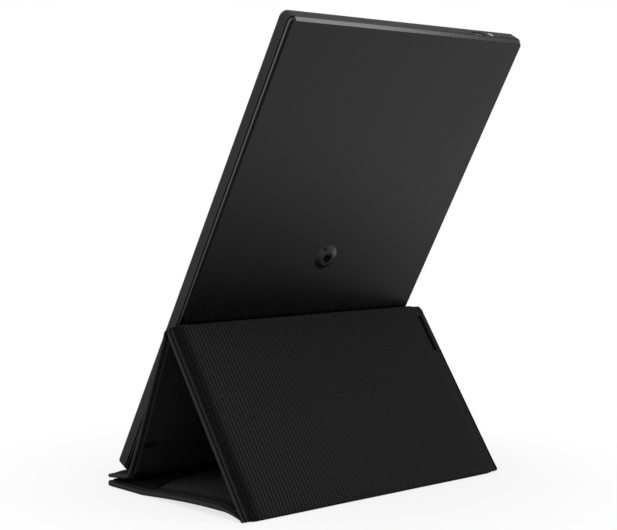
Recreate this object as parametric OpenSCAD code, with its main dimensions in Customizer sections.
/* [Cover] */
// Width of the cover from side to side
cover_w = 252; // [236:1:320]
// Length of the rear panel, from the rear fold to the ridge
rear_l = 142; // [116:1:190]
// Length of the upper front panel, from the ridge to the low fold
front_upper_l = 90.5; // [70:0.5:110]
// Length of the lower front panel, from the low fold to the lip fold
front_lower_l = 27; // [20:0.5:40]
// Length of the lip, from its rounded tip to the lip fold
lip_l = 27.5; // [22:0.5:40]
// Length of the base that lies flat on the table
flat_l = 44; // [36:1:60]
// Thickness of the stiff boards
board_t = 2; // [1.4:0.1:2.6]
// Thickness of the outer fabric
cloth_t = 1; // [0.7:0.1:1.4]
// Thickness of the lining
lining_t = 1; // [0.7:0.1:1.4]
// Width of the fabric turned in along the side edges
hem_w = 4.7; // [3:0.1:8]
// Radius of the round bead of fabric on each fold
bead_r = 2; // [1.5:0.1:2.6]
// Radius of the corners at the free ends
corner_r = 6; // [3:0.5:10]
// Length over which a panel thins down towards a fold
nose_l = 7; // [6:0.5:12]
// Half thickness of the fabric beside a fold
skin_h = 0.7; // [0.5:0.05:0.9]

/* [Stance] */
// Lean of the upper front panel from the vertical
upper_lean = 21.5; // [15:0.1:26]
// Lean of the lower front panel from the vertical
lower_lean = 25.1; // [18:0.1:30]
// Rise of the lip towards its fold
lip_rise = 6.5; // [3:0.1:10]
// Height to which the base bows up before the rear fold
base_rise = 4.5; // [2:0.1:7]
// Length of the soft curl between the base board and the rear fold
curl_l = 24; // [18:0.5:30]
// Distance from the tip of the lip to the foot of the monitor
foot_s = 8; // [5:0.5:14]

/* [Grip pad and magnets] */
// Thickness of the pad on the base
pad_t = 1; // [0.6:0.1:1.6]
// Length of the pad from front to rear
pad_l = 53; // [40:1:60]
// Width of the bare margin round the pad
pad_margin = 5; // [3:0.5:8]
// Radius of the round magnets
magnet_r = 5; // [3:0.5:7]
// Distance of the magnets from the front edge
magnet_in = 15; // [12:0.5:16]
// Number of magnets in a row
magnet_n = 4; // [2:1:6]

/* [Side slot] */
// Length of the slot beside the edge of the rear panel
slot_l = 29; // [20:1:40]
// Width of the slot
slot_w = 2.8; // [2:0.1:4]
// Distance from the ridge to the slot
slot_in = 9; // [8:0.5:20]

/* [Monitor] */
// Width of the monitor across the short side
mon_w = 226; // [190:1:272]
// Length of the monitor along the long side
mon_l = 360; // [300:1:440]
// Thickness of the monitor
mon_t = 11.2; // [10.8:0.1:14]
// Radius of the monitor's corners
mon_r = 5; // [3:0.5:8]
// Depth from the back to the seam round the side
seam_d = 3.2; // [2.8:0.1:4]
// Wall of the back cover
back_wall = 1.5; // [1:0.1:1.8]
// Wall of the side frame
side_wall = 1.6; // [1.2:0.1:2.4]
// Thickness of the screen bezel
bezel_t = 0.9; // [0.6:0.1:1.2]
// Width of the bezel on the side away from the keys
top_border = 10; // [9:0.5:14]
// Width of the bezel on the side of the keys
key_border = 22.4; // [20:0.1:30]
// Width of the bezel at the two ends
end_border = 7.9; // [7.5:0.1:14]

/* [Screen stack] */
// Overlap of the bezel on the cell
overlap = 1.5; // [1:0.1:3]
// Thickness of the liquid crystal cell
cell_t = 0.8; // [0.6:0.05:1.1]
// Thickness of the tape under the bezel
tape_t = 0.3; // [0.2:0.05:0.5]
// Thickness of the light guide and its sheets
guide_t = 1.2; // [0.9:0.1:1.4]
// Thickness of the tray metal
tray_t = 0.4; // [0.3:0.05:0.6]
// Width of the light bar beside the guide
bar_w = 3; // [2:0.1:4]

/* [Sockets] */
// Distance from the monitor's side to the data socket
data_in = 46; // [30:0.5:60]
// Distance from the monitor's side to the sound socket
sound_in = 32.5; // [20:0.5:44]
// Width of the data opening
data_w = 12.6; // [11:0.1:14]
// Height of the data opening
data_h = 4.2; // [4:0.1:4.6]
// Radius of the bore of the sound socket
sound_bore_r = 1.8; // [1.75:0.01:1.9]
// Outer radius of the sound socket's collar
collar_r = 2.1; // [2.05:0.05:2.2]

/* [Tripod boss] */
// Radius of the boss at its foot
boss_r = 10; // [8:0.5:14]
// Radius of the boss at its face
boss_face_r = 5.8; // [5:0.1:7]
// Height of the boss over the back
boss_h = 2; // [1:0.1:3]
// Wall radius of the threaded hole
thread_r = 2.65; // [2.6:0.05:3]
// Length of the thread
thread_l = 6; // [5:0.5:7]
// Number of notches in the flank
notch_n = 3; // [2:1:6]

/* [Hidden] */
$fn = 48;
tiny = 0.01;

// Clearances
fold_gap = 0.3;
seat_gap = 0.1;
lean_gap = 0.2;
fit_gap = 0.1;

// Panel section
panel_t = board_t + cloth_t + lining_t;
out_h = board_t / 2 + cloth_t;
in_h = board_t / 2 + lining_t;
fold_end = bead_r + fold_gap;
board_end = nose_l + 0.5;
inner_w = cover_w - 2 * hem_w;
ridge_start = -bead_r / 2;
ridge_in = corner_r / 2;

// Side view of the stand, with y to the rear and z up
tip_y = -flat_l / 2;
tip_c = [tip_y + panel_t / 2, panel_t + pad_t + seat_gap + panel_t / 2];
lip_dir = [cos(lip_rise), sin(lip_rise)];
mid_shift = (cloth_t - lining_t) / 2;
lip_start = tip_c - mid_shift * [-lip_dir[1], lip_dir[0]];
lip_axis = lip_start + (lip_l - panel_t / 2) * lip_dir;
low_axis = lip_axis + front_lower_l * [sin(lower_lean), cos(lower_lean)];
ridge_axis = low_axis + front_upper_l * [sin(upper_lean), cos(upper_lean)];
rear_z = bead_r;
rear_lean = acos((ridge_axis[1] - rear_z) / rear_l);
rear_axis = [ridge_axis[0] + rear_l * sin(rear_lean), rear_z];

// Half the angle between the panels at the two tight folds, and the room beside them
curl_slope = atan((out_h + base_rise - rear_z) * PI / 2 / curl_l);
half_rear = (90 - rear_lean - curl_slope) / 2;
half_ridge = (rear_lean + upper_lean) / 2;
function nose_at(half) = max(nose_l, (in_h * cos(half) + seat_gap) / sin(half));
function skin_at(half) = min(skin_h, (fold_end * sin(half) - seat_gap) / cos(half));

// Bowed base
flat_end = flat_l / 2;
crest_y = rear_axis[0] - curl_l;
base_end = rear_axis[0] - fold_end;
bow_n = 8;
bow_ys = [for (i = [0 : bow_n]) flat_end + (crest_y - flat_end) * i / bow_n];
curl_ys = [for (i = [1 : bow_n]) crest_y + (base_end - crest_y) * i / bow_n];
function bow(y) = base_rise * sin(90 * (y - flat_end) / (crest_y - flat_end));
function curl(y) = (out_h + base_rise - rear_z) * sin(90 * (rear_axis[0] - y) / curl_l);
function base_mid(y) = y <= flat_end ? out_h : y <= crest_y ? out_h + bow(y) : rear_z + curl(y);
function taper(y, full, last) =
    y <= crest_y ? full : full + (last - full) * (y - crest_y) / (base_end - crest_y);

// Foot and lean of the monitor
lip_top = lip_start[1] + out_h / cos(lip_rise) - lip_start[0] * tan(lip_rise);
foot_y = tip_y + foot_s;
foot_z = lip_top + foot_y * tan(lip_rise) + seat_gap;
to_ridge = ridge_axis - [foot_y, foot_z];
theta = atan2(to_ridge[0], to_ridge[1]) - asin((bead_r + lean_gap) / norm(to_ridge));
chamfer_in = seam_d * tan(theta + lip_rise);
pocket_in = chamfer_in + back_wall;

// Layers of the monitor, as depths from the back
frame_end = mon_t - bezel_t;
cell_d = frame_end - tape_t - cell_t;
guide_d = cell_d - guide_t;
tray_d = guide_d - tray_t;
ledge_t = 1;
ledge_d = tray_d - ledge_t;
rib_t = 1;
rib_d = 2.6;
board_d = rib_d + fit_gap;
pcb_t = 1;

// Plan of the screen
view_w = mon_w - top_border - key_border;
view_l = mon_l - 2 * end_border;
view_x0 = mon_w / 2 - top_border - view_w;
view_z0 = (mon_l - view_l) / 2;
cell_x0 = view_x0 - overlap;
cell_w = view_w + 2 * overlap;
cell_z0 = view_z0 - overlap;
cell_l = view_l + 2 * overlap;
tray_wall = 0.6;

// Sockets
data_x = data_in - mon_w / 2;
sound_x = sound_in - mon_w / 2;
shell_w = 8.94;
shell_h = 3.26;
shell_l = 7.3;
shell_wall = 0.3;
data_d = board_d + pcb_t + shell_h / 2;
sound_h = 4;
sound_sink = 0.15;
sound_d = min(board_d + pcb_t + sound_h / 2 - sound_sink, tray_d - sound_h / 2 - 0.05);
sound_w = 6;
sound_l = 12;
wall_z = mon_l - side_wall;
flange_t = 0.6;

// Main board, keys and driver board
screw_in = side_wall + 3.4;
end_in = side_wall + 2;
post_r = 2.2;
screw_r = 0.8;
head_r = 1.6;
main_x0 = -mon_w / 2 + screw_in + post_r + 0.5;
main_in = 7.1;
main_w = -post_r - main_in - main_x0;
main_l = 72;
main_z0 = mon_l - pocket_in - fit_gap - main_l;
key_x = -mon_w / 2 + 11;
key_w = 3.6;
key_l = 10;
key_zs = [22, 46];
key_proud = 0.4;
key_travel = 0.4;
strip_x0 = -mon_w / 2 + screw_in + head_r + 0.3;
strip_x1 = cell_x0 - tray_wall - 2.6;

// Tripod boss
boss_z = mon_l / 2;
insert_r = 4.6;
mouth_r = 3.65;
mouth_l = 1;

// Colours
fabric = [0.11, 0.11, 0.115];
lining = [0.06, 0.06, 0.065];
card = [0.45, 0.36, 0.26];
shell = [0.13, 0.13, 0.135];
rim = [0.2, 0.2, 0.205];
steel = [0.72, 0.73, 0.74];
green = [0.05, 0.3, 0.16];
glass = [0.03, 0.03, 0.04];

// Side view outlines drawn in y and z, and extruded across the cover
module across(w) {
    rotate([90, 0, 90])
        linear_extrude(w, center = true)
            children();
}

// Puts a panel's own length and thickness at a fold axis and an angle
module at_fold(axis, angle) {
    translate([0, axis[0], axis[1]])
        rotate([angle, 0, 0])
            children();
}

// Both side edges of the cover
module both_hems() {
    for (side = [-1, 1])
        translate([side * (cover_w - hem_w) / 2, 0, 0])
            across(hem_w)
                children();
}

// Inner surface of a panel, thinned down at its ends that meet a tight fold. tight holds the
// half angle at each end, or 0 where the fold is open
function inner_edge(l, tight) = concat(
    tight[0] > 0
        ? [[fold_end, -skin_at(tight[0])], [nose_at(tight[0]), -in_h]]
        : [[fold_end, -in_h]],
    tight[1] > 0
        ? [[l - nose_at(tight[1]), -in_h], [l - fold_end, -skin_at(tight[1])]]
        : [[l - fold_end, -in_h]]
);

// Outer fabric of a panel that lies between two folds, with its turned side edges
module panel_cloth(l, tight) {
    across(cover_w - 2 * hem_w + tiny)
        polygon([
            [fold_end, 0], [fold_end, out_h], [l - fold_end, out_h], [l - fold_end, 0],
            [l - board_end, board_t / 2], [board_end, board_t / 2]
        ]);
    both_hems()
        polygon(concat(inner_edge(l, tight), [[l - fold_end, out_h], [fold_end, out_h]]));
}

module panel_lining(l, tight) {
    across(inner_w - fit_gap)
        polygon(concat(inner_edge(l, tight), [
            [l - fold_end, 0], [l - board_end, -board_t / 2],
            [board_end, -board_t / 2], [fold_end, 0]
        ]));
}

module panel_board(l) {
    across(inner_w - fit_gap)
        translate([board_end, -board_t / 2])
            square([l - 2 * board_end, board_t]);
}

// Round bead of fabric along a fold, with domed ends where the corners are round
module bead(axis, end_in) {
    straight = end_in > 0 ? cover_w - 2 * (end_in + bead_r) : cover_w;
    at_fold(axis, 0) {
        rotate([0, 90, 0])
            cylinder(r = bead_r, h = straight, center = true);
        if (end_in > 0)
            for (side = [-1, 1])
                translate([side * straight / 2, 0, 0])
                    rotate([0, 90, 0])
                        sphere(bead_r);
    }
}

// Blocks that cut the two corners of an end round, seen from above
module round_corners(y, h) {
    for (side = [-1, 1])
        translate([side * cover_w / 2, y, 0])
            linear_extrude(h, center = true)
                difference() {
                    translate([side > 0 ? -corner_r : -1, -1])
                        square(corner_r + 1);
                    translate([-side * corner_r, corner_r])
                        circle(corner_r);
                }
}

// Row of places for the magnets, across the width
module magnet_row(y) {
    pitch = (inner_w - 2 * magnet_in) / magnet_n;
    for (i = [0 : magnet_n - 1])
        translate([(i - (magnet_n - 1) / 2) * pitch, y, 0])
            children();
}

// Base
module base_layer(ys, up_full, up_last, down_full, down_last) {
    polygon(concat(
        [for (y = ys) [y, base_mid(y) - taper(y, down_full, down_last)]],
        [for (i = [len(ys) - 1 : -1 : 0]) [ys[i], base_mid(ys[i]) + taper(ys[i], up_full, up_last)]]
    ));
}

base_ys = concat([tip_y + panel_t / 2], bow_ys, curl_ys);
lined_ys = concat([tip_y + hem_w], bow_ys, curl_ys);

module base_cloth() {
    color(fabric)
        difference() {
            union() {
                across(cover_w - 2 * hem_w + tiny)
                    base_layer(base_ys, -board_t / 2, 0, out_h, skin_h);
                both_hems()
                    base_layer(base_ys, in_h, skin_at(half_rear), out_h, skin_h);
                across(cover_w)
                    translate([tip_y + panel_t / 2, 0])
                        square([hem_w - panel_t / 2, panel_t]);
                translate([0, tip_y + panel_t / 2, panel_t / 2])
                    rotate([0, 90, 0])
                        cylinder(r = panel_t / 2, h = cover_w, center = true);
            }
            round_corners(tip_y, 4 * panel_t);
        }
}

module base_board() {
    color(card)
        difference() {
            across(inner_w - fit_gap)
                base_layer(concat([tip_y + hem_w], bow_ys), board_t / 2, 0, board_t / 2, 0);
            magnet_row(tip_y + magnet_in)
                cylinder(r = magnet_r + fit_gap, h = 4 * panel_t, center = true);
        }
}

module base_lining() {
    color(lining)
        across(inner_w - fit_gap)
            base_layer(lined_ys, in_h, skin_at(half_rear), -board_t / 2, 0);
}

// Pad with rounded rear corners that follows the top of the base
module grip_pad() {
    pad_y0 = tip_y + pad_margin;
    pad_w = cover_w - 2 * pad_margin;
    pad_ys = concat([pad_y0], [for (i = [0 : 4]) flat_end + (pad_y0 + pad_l - flat_end) * i / 4]);
    color(lining)
        intersection() {
            across(pad_w)
                polygon(concat(
                    [for (y = pad_ys) [y, base_mid(y) + in_h]],
                    [for (i = [len(pad_ys) - 1 : -1 : 0])
                        [pad_ys[i], base_mid(pad_ys[i]) + in_h + pad_t]]
                ));
            linear_extrude(4 * (panel_t + base_rise))
                rounded(pad_w, pad_l, corner_r, pad_y0 + pad_l / 2);
        }
}

module base_magnets() {
    color(steel)
        magnet_row(tip_y + magnet_in)
            translate([0, 0, cloth_t])
                cylinder(r = magnet_r, h = board_t);
}

module rear_hinge_strip() {
    color(fabric)
        bead(rear_axis, 0);
}

// Rear panel, from the ridge down to the rear fold
module on_rear() {
    at_fold(ridge_axis, rear_lean - 90)
        children();
}

module rear_cloth() {
    slot_x = hem_w + slot_w / 2 - cover_w / 2;
    color(fabric)
        on_rear()
            difference() {
                panel_cloth(rear_l, [half_ridge, half_rear]);
                translate([slot_x - slot_w / 2, slot_in, board_t / 2])
                    cube([slot_w, slot_l, 2 * cloth_t]);
                round_corners(ridge_start, 4 * panel_t);
            }
}

module rear_board() {
    color(card)
        on_rear()
            panel_board(rear_l);
}

module rear_lining() {
    color(lining)
        on_rear()
            panel_lining(rear_l, [half_ridge, half_rear]);
}

module ridge_hinge_strip() {
    color(fabric)
        bead(ridge_axis, ridge_in);
}

// Upper front panel, from the low fold up to the ridge
module on_upper() {
    at_fold(low_axis, 90 - upper_lean)
        children();
}

module upper_cloth() {
    color(fabric)
        on_upper()
            difference() {
                panel_cloth(front_upper_l, [0, half_ridge]);
                translate([0, front_upper_l, 0])
                    mirror([0, 1, 0])
                        round_corners(ridge_start, 4 * panel_t);
            }
}

module upper_board() {
    color(card)
        on_upper()
            panel_board(front_upper_l);
}

module upper_lining() {
    color(lining)
        on_upper()
            panel_lining(front_upper_l, [0, half_ridge]);
}

module low_hinge_strip() {
    color(fabric)
        bead(low_axis, 0);
}

// Lower front panel, from the lip fold up to the low fold
module on_lower() {
    at_fold(lip_axis, 90 - lower_lean)
        children();
}

module lower_cloth() {
    color(fabric)
        on_lower()
            panel_cloth(front_lower_l, [0, 0]);
}

module lower_board() {
    color(card)
        on_lower()
            panel_board(front_lower_l);
}

module lower_lining() {
    color(lining)
        on_lower()
            panel_lining(front_lower_l, [0, 0]);
}

module lip_hinge_strip() {
    color(fabric)
        bead(lip_axis, 0);
}

// Lip, from its rounded tip to the lip fold
lip_run = lip_l - panel_t / 2;
lip_hem = hem_w - panel_t / 2;

module on_lip() {
    at_fold(lip_start, lip_rise)
        children();
}

module lip_cloth() {
    color(fabric)
        on_lip()
            difference() {
                union() {
                    across(cover_w - 2 * hem_w + tiny)
                        polygon([
                            [0, board_t / 2], [0, out_h], [lip_run - fold_end, out_h],
                            [lip_run - fold_end, 0], [lip_run - board_end, board_t / 2]
                        ]);
                    both_hems()
                        translate([0, -in_h])
                            square([lip_run - fold_end, panel_t]);
                    across(cover_w)
                        translate([0, -in_h])
                            square([lip_hem, panel_t]);
                    translate([0, 0, mid_shift])
                        rotate([0, 90, 0])
                            cylinder(r = panel_t / 2, h = cover_w, center = true);
                }
                round_corners(-panel_t / 2, 4 * panel_t);
            }
}

module lip_board() {
    color(card)
        on_lip()
            difference() {
                across(inner_w - fit_gap)
                    translate([lip_hem, -board_t / 2])
                        square([lip_run - board_end - lip_hem, board_t]);
                magnet_row(magnet_in - panel_t / 2)
                    cylinder(r = magnet_r + fit_gap, h = 4 * panel_t, center = true);
            }
}

module lip_lining() {
    color(lining)
        on_lip()
            across(inner_w - fit_gap)
                polygon([
                    [lip_hem, -board_t / 2], [lip_run - board_end, -board_t / 2],
                    [lip_run - fold_end, 0], [lip_run - fold_end, -in_h], [lip_hem, -in_h]
                ]);
}

module lip_magnets() {
    color(steel)
        on_lip()
            magnet_row(magnet_in - panel_t / 2)
                cylinder(r = magnet_r, h = board_t, center = true);
}

// Monitor frame: x across, z along the monitor from its foot, y = 0 on the back
module on_monitor() {
    translate([0, foot_y, foot_z])
        rotate([-theta, 0, 0])
            translate([0, 0, -chamfer_in])
                children();
}

// Rectangle with round corners, its middle at a height
module rounded(w, l, r, mid) {
    translate([0, mid]) {
        square([w - 2 * r, l], center = true);
        square([w, l - 2 * r], center = true);
        for (x = [-1, 1], y = [-1, 1])
            translate([x * (w / 2 - r), y * (l / 2 - r)])
                circle(r);
    }
}

// A flat layer of the monitor between two depths
module layer(d0, d1) {
    translate([0, -d0, 0])
        rotate([90, 0, 0])
            linear_extrude(d1 - d0)
                children();
}

module body_outline(inset) {
    rounded(mon_w - 2 * inset, mon_l - 2 * inset, mon_r - min(inset, mon_r - 1), mon_l / 2);
}

// Places of the frame screws, round the edge
screw_places = concat(
    [for (i = [0 : 3], s = [-1, 1])
        [s * (mon_w / 2 - screw_in), screw_in + (mon_l - 2 * screw_in) * i / 3]],
    [for (z = [end_in, mon_l - end_in]) [0, z]]
);

// Places of the posts under the main board
post_in = 5;
post_places = [
    for (i = [0, 1], j = [0, 1])
        [main_x0 + post_in + i * (main_w - 2 * post_in),
         main_z0 + post_in + j * (main_l - 24 - post_in)]
];

// A round piece that stands on the back wall, between two depths
module stud(place, r, d0, d1) {
    translate([place[0], -d0, place[1]])
        rotate([90, 0, 0])
            cylinder(r = r, h = d1 - d0);
}

// Openings for the two sockets, through the top wall
module socket_cuts(grow) {
    translate([data_x, -data_d, wall_z - 1])
        linear_extrude(side_wall + 2)
            stadium(data_w + 2 * grow, data_h + 2 * grow);
    translate([sound_x, -sound_d, wall_z - 1])
        cylinder(r = collar_r + fit_gap + grow, h = side_wall + 2);
}

module stadium(w, h) {
    square([w - h, h], center = true);
    for (side = [-1, 1])
        translate([side * (w - h) / 2, 0])
            circle(h / 2);
}

// Back cover: a shallow moulded dish with a chamfer, ribs, posts and a hole for the boss

module back_cover() {
    color(shell)
        on_monitor()
            difference() {
                union() {
                    difference() {
                        hull() {
                            layer(0, tiny)
                                body_outline(chamfer_in);
                            layer(seam_d - tiny, seam_d)
                                body_outline(0);
                        }
                        layer(back_wall, seam_d + 1)
                            body_outline(pocket_in);
                    }
                    for (place = screw_places)
                        stud(place, post_r, back_wall - tiny, seam_d);
                    for (place = post_places)
                        stud(place, post_r, back_wall - tiny, board_d);
                    stud([0, boss_z], boss_r + 2, back_wall - tiny, rib_d);
                    for (i = [1 : 5])
                        if (i != 5)
                            rib_across(i * mon_l / 6);
                    for (x = [-mon_w / 4, mon_w / 4])
                        rib_along(x);
                }
                stud([0, boss_z], boss_r - 2 + fit_gap, -1, seam_d + 1);
                for (place = screw_places)
                    stud(place, screw_r, back_wall, seam_d + 1);
                for (place = post_places)
                    stud(place, screw_r, back_wall, seam_d + 1);
                socket_cuts(0);
            }
}

module rib_across(z) {
    translate([-mon_w / 2 + pocket_in - tiny, -rib_d, z - rib_t / 2])
        cube([mon_w - 2 * pocket_in + 2 * tiny, rib_d - back_wall + tiny, rib_t]);
}

module rib_along(x) {
    translate([x - rib_t / 2, -rib_d, pocket_in - tiny])
        cube([rib_t, rib_d - back_wall + tiny, mon_l - 2 * pocket_in + 2 * tiny]);
}

// Side frame: the outer wall with an inner ledge that carries the screen tray
module side_frame() {
    color(rim)
        on_monitor()
            difference() {
                union() {
                    layer(seam_d, frame_end)
                        difference() {
                            body_outline(0);
                            body_outline(side_wall);
                        }
                    layer(ledge_d, ledge_d + ledge_t)
                        difference() {
                            body_outline(side_wall / 2);
                            translate([cell_x0 + cell_w / 2, 0])
                                rounded(cell_w - 8, cell_l - 8, 2, mon_l / 2);
                        }
                    for (place = screw_places)
                        stud(place, post_r, seam_d, ledge_d + tiny);
                }
                for (place = screw_places)
                    stud(place, screw_r, seam_d - 1, ledge_d + ledge_t + 1);
                cable_notch();
                socket_cuts(0);
                sound_room();
            }
}

cable_w = 20;
cable_t = 0.3;
cable_z = main_z0 + 24;
cable_x = cell_x0 - tray_wall - 1.2;

module cable_notch() {
    translate([cable_x - 1.4, -ledge_d - ledge_t - 1, cable_z - cable_w / 2 - 2])
        cube([3.6, ledge_t + 2, cable_w + 4]);
}

// Room in the ledge for the two sockets
module sound_room() {
    translate([sound_x - sound_w / 2 - 0.5, -ledge_d - ledge_t + tiny, wall_z - sound_l - 1])
        cube([sound_w + 1, ledge_t + 1, sound_l + 1]);
    translate([data_x - shell_w / 2 - 0.5, -ledge_d - ledge_t + tiny, wall_z - shell_l - 1])
        cube([shell_w + 1, ledge_t + 1, shell_l + 1]);
}

// Screen side
module bezel() {
    color(shell)
        on_monitor()
            difference() {
                layer(frame_end, mon_t)
                    difference() {
                        body_outline(0);
                        translate([view_x0 + view_w / 2, 0])
                            rounded(view_w, view_l, 0.5, mon_l / 2);
                    }
                for (z = key_zs)
                    translate([key_x, 0, z])
                        key_prism(key_w + 2 * fit_gap, key_l + 2 * fit_gap, frame_end - 1, mon_t + 1);
            }
}

module screen_tape() {
    color(lining)
        on_monitor()
            layer(cell_d + cell_t, frame_end)
                difference() {
                    translate([cell_x0 + cell_w / 2, 0])
                        rounded(cell_w, cell_l, 0.5, mon_l / 2);
                    translate([cell_x0 + cell_w / 2, 0])
                        rounded(cell_w - 2.2, cell_l - 2.2, 0.5, mon_l / 2);
                }
}

module display_cell() {
    color(glass)
        on_monitor()
            layer(cell_d, cell_d + cell_t)
                translate([cell_x0, cell_z0])
                    square([cell_w, cell_l]);
}

module light_guide() {
    color([0.85, 0.87, 0.88])
        on_monitor()
            layer(guide_d, cell_d)
                translate([cell_x0 + bar_w, cell_z0])
                    square([cell_w - bar_w, cell_l]);
}

module light_bar() {
    led_n = 24;
    led_pitch = cell_l / led_n;
    color([0.95, 0.9, 0.6])
        on_monitor() {
            translate([cell_x0, -guide_d - 0.4, cell_z0])
                cube([bar_w, 0.4, cell_l]);
            for (i = [0 : led_n - 1])
                translate([cell_x0 + bar_w - 1.4, -cell_d + 0.1, cell_z0 + (i + 0.5) * led_pitch - 1.5])
                    cube([1.3, cell_d - guide_d - 0.4 - 0.1 + tiny, 3]);
        }
}

// Folded sheet metal pan, with a wall round the guide
module panel_tray() {
    color(steel)
        on_monitor() {
            layer(tray_d, guide_d)
                translate([cell_x0 - tray_wall, cell_z0 - tray_wall])
                    square([cell_w + 2 * tray_wall, cell_l + 2 * tray_wall]);
            layer(guide_d - tiny, cell_d)
                difference() {
                    translate([cell_x0 - tray_wall, cell_z0 - tray_wall])
                        square([cell_w + 2 * tray_wall, cell_l + 2 * tray_wall]);
                    translate([cell_x0, cell_z0])
                        square([cell_w, cell_l]);
                }
        }
}

// Boards and what is on them
driver_z0 = 80;
driver_z1 = main_z0 + 46;
driver_t = 0.8;

module driver_board() {
    color(green)
        on_monitor()
            translate([strip_x0, -tray_d - driver_t, driver_z0])
                cube([strip_x1 - strip_x0, driver_t, driver_z1 - driver_z0]);
}

module flat_cable() {
    top = tray_d + driver_t;
    floor_d = board_d + pcb_t;
    color([0.8, 0.62, 0.3])
        on_monitor()
            translate([0, 0, cable_z - cable_w / 2])
                linear_extrude(cable_w)
                    polygon([
                        [cable_x - 8, -top], [cable_x - 8, -top - cable_t], [cable_x, -top - cable_t],
                        [cable_x, -floor_d - cable_t], [cable_x + 8, -floor_d - cable_t],
                        [cable_x + 8, -floor_d], [cable_x - cable_t, -floor_d], [cable_x - cable_t, -top]
                    ]);
}

module main_board() {
    chips = [[26, 12, 12, 12], [46, 18, 14, 14], [main_w - 26, 40, 10, 16], [22, 42, 8, 8]];
    color(green)
        on_monitor()
            difference() {
                union() {
                    translate([main_x0, -board_d - pcb_t, main_z0])
                        cube([main_w, pcb_t, main_l]);
                    for (c = chips)
                        translate([main_x0 + c[0], -board_d - pcb_t - 1.2, main_z0 + c[1]])
                            cube([c[2], 1.2 + tiny, c[3]]);
                }
                translate([sound_x - sound_w / 2 - fit_gap, -board_d - pcb_t - 1, wall_z - sound_l - fit_gap])
                    cube([sound_w + 2 * fit_gap, pcb_t + 2, sound_l + 2]);
                for (place = post_places)
                    stud(place, screw_r + fit_gap, board_d - 1, board_d + pcb_t + 1);
            }
}

module shield_can() {
    can_h = 2;
    can_t = 0.3;
    color(steel)
        on_monitor()
            translate([main_x0 + 42, -board_d - pcb_t - can_h, main_z0 + 14])
                difference() {
                    cube([22, can_h, 22]);
                    translate([can_t, can_t, can_t])
                        cube([22 - 2 * can_t, can_h, 22 - 2 * can_t]);
                }
}

// Data socket: a flattened tube with a tongue, and a metal flange in the wall
module data_socket() {
    lip_w = data_w - 2 * fit_gap;
    lip_h = data_h - 2 * fit_gap;
    bore_w = shell_w - 2 * shell_wall;
    bore_h = shell_h - 2 * shell_wall;
    color(steel)
        on_monitor()
            translate([data_x, -data_d, wall_z]) {
                difference() {
                    union() {
                        translate([0, 0, -shell_l])
                            linear_extrude(shell_l + tiny)
                                stadium(shell_w, shell_h);
                        linear_extrude(flange_t)
                            stadium(lip_w, lip_h);
                    }
                    translate([0, 0, -shell_l + 0.6])
                        linear_extrude(shell_l + 2)
                            stadium(bore_w, bore_h);
                }
                translate([-3.3, -0.35, -shell_l + 0.5])
                    cube([6.6, 0.7, shell_l - 0.9]);
            }
}

// Sound socket: a box with a collar and a round bore
module sound_socket() {
    color(steel)
        on_monitor()
            translate([sound_x, -sound_d, wall_z])
                difference() {
                    union() {
                        translate([-sound_w / 2, -sound_h / 2, -sound_l])
                            cube([sound_w, sound_h, sound_l]);
                        translate([0, 0, -tiny])
                            cylinder(r = min(collar_r, sound_h / 2 + 1), h = side_wall + tiny);
                    }
                    translate([0, 0, 1 - sound_l])
                        cylinder(r = sound_bore_r, h = sound_l + side_wall);
                }
}

// Screws with round heads
module board_screws() {
    color(steel)
        on_monitor()
            for (place = post_places) {
                stud(place, screw_r - 0.1, back_wall + 0.2, board_d + pcb_t + tiny);
                stud(place, head_r, board_d + pcb_t, board_d + pcb_t + 0.9);
            }
}

module frame_screws() {
    color(steel)
        on_monitor()
            for (place = screw_places) {
                stud(place, screw_r - 0.1, back_wall + 0.2, ledge_d + ledge_t + tiny);
                stud(place, head_r, ledge_d + ledge_t, ledge_d + ledge_t + 0.6);
            }
}

// Tripod boss: a low cone with a stepped bore and notches in its flank
module tripod_boss() {
    notch_r = (boss_r + boss_face_r) / 2 + 0.8;
    color(shell)
        on_monitor()
            translate([0, 0, boss_z])
                rotate([90, 0, 0])
                    difference() {
                        union() {
                            translate([0, 0, -boss_h])
                                cylinder(r1 = boss_face_r, r2 = boss_r, h = boss_h);
                            translate([0, 0, -tiny])
                                cylinder(r = boss_r - 2, h = back_wall + 1.1);
                        }
                        translate([0, 0, -boss_h - 1])
                            cylinder(r = mouth_r, h = mouth_l + 1.01);
                        translate([0, 0, mouth_l - boss_h])
                            cylinder(r = insert_r + tiny, h = thread_l + 2);
                        for (i = [0 : notch_n - 1])
                            rotate([0, 0, 60 + i * 360 / notch_n])
                                translate([notch_r, 0, -boss_h])
                                    rotate([0, 0, 45])
                                        cube([2.4, 2.4, 2 * boss_h - 0.6], center = true);
                    }
}

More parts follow.
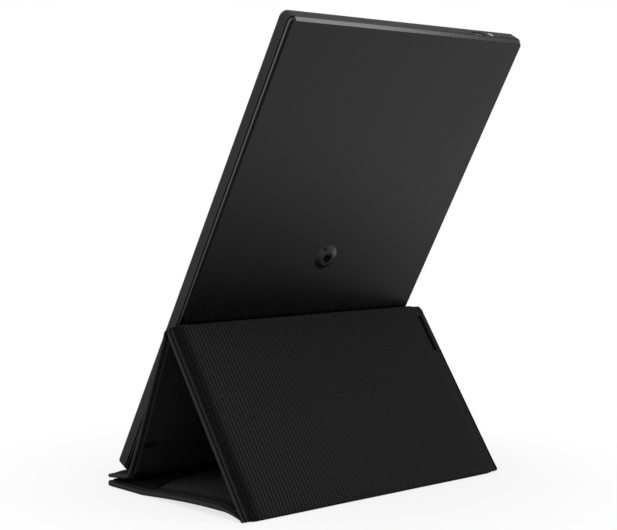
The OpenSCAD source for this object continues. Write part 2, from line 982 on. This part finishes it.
// Threaded insert with a flange behind the boss
module tripod_insert() {
    top = mouth_l - boss_h;
    color([0.8, 0.68, 0.4])
        on_monitor()
            translate([0, 0, boss_z])
                rotate([90, 0, 0])
                    translate([0, 0, top])
                        difference() {
                            union() {
                                cylinder(r = insert_r, h = thread_l);
                                translate([0, 0, back_wall + 1.1 - top])
                                    cylinder(r = boss_r - 1, h = 0.8);
                            }
                            translate([0, 0, -1])
                                cylinder(r = thread_r, h = thread_l + 2);
                        }
}

// Keys in the bezel
module key_prism(w, l, d0, d1) {
    translate([0, -d0, 0])
        rotate([90, 0, 0])
            linear_extrude(d1 - d0)
                rotate(90)
                    stadium(l, w);
}

module key(z) {
    flange_d = frame_end - 0.6;
    translate([key_x, 0, z]) {
        key_prism(key_w, key_l, flange_d, mon_t + key_proud);
        key_prism(key_w + 1.6, key_l + 1.6, flange_d, frame_end - 0.05);
        key_prism(2, 4, flange_d - 0.4, flange_d + tiny);
    }
}

module power_key() {
    color(shell)
        on_monitor()
            key(key_zs[0]);
}

module menu_key() {
    color(shell)
        on_monitor()
            key(key_zs[1]);
}

// Small board with one dome switch under each key
module switch_board() {
    dome_top = frame_end - 1 - key_travel - 0.1;
    color(green)
        on_monitor() {
            translate([strip_x0, -tray_d - driver_t, key_zs[0] - 12])
                cube([strip_x1 - strip_x0, driver_t, key_zs[1] - key_zs[0] + 24]);
            for (z = key_zs)
                stud([key_x, z], 2, tray_d + driver_t - tiny, dome_top);
        }
}

base_cloth();
base_board();
base_lining();
grip_pad();
base_magnets();
rear_hinge_strip();
rear_cloth();
rear_board();
rear_lining();
ridge_hinge_strip();
upper_cloth();
upper_board();
upper_lining();
low_hinge_strip();
lower_cloth();
lower_board();
lower_lining();
lip_hinge_strip();
lip_cloth();
lip_board();
lip_lining();
lip_magnets();
back_cover();
side_frame();
bezel();
screen_tape();
display_cell();
light_guide();
light_bar();
panel_tray();
driver_board();
flat_cable();
main_board();
shield_can();
data_socket();
sound_socket();
board_screws();
frame_screws();
tripod_boss();
tripod_insert();
power_key();
menu_key();
switch_board();
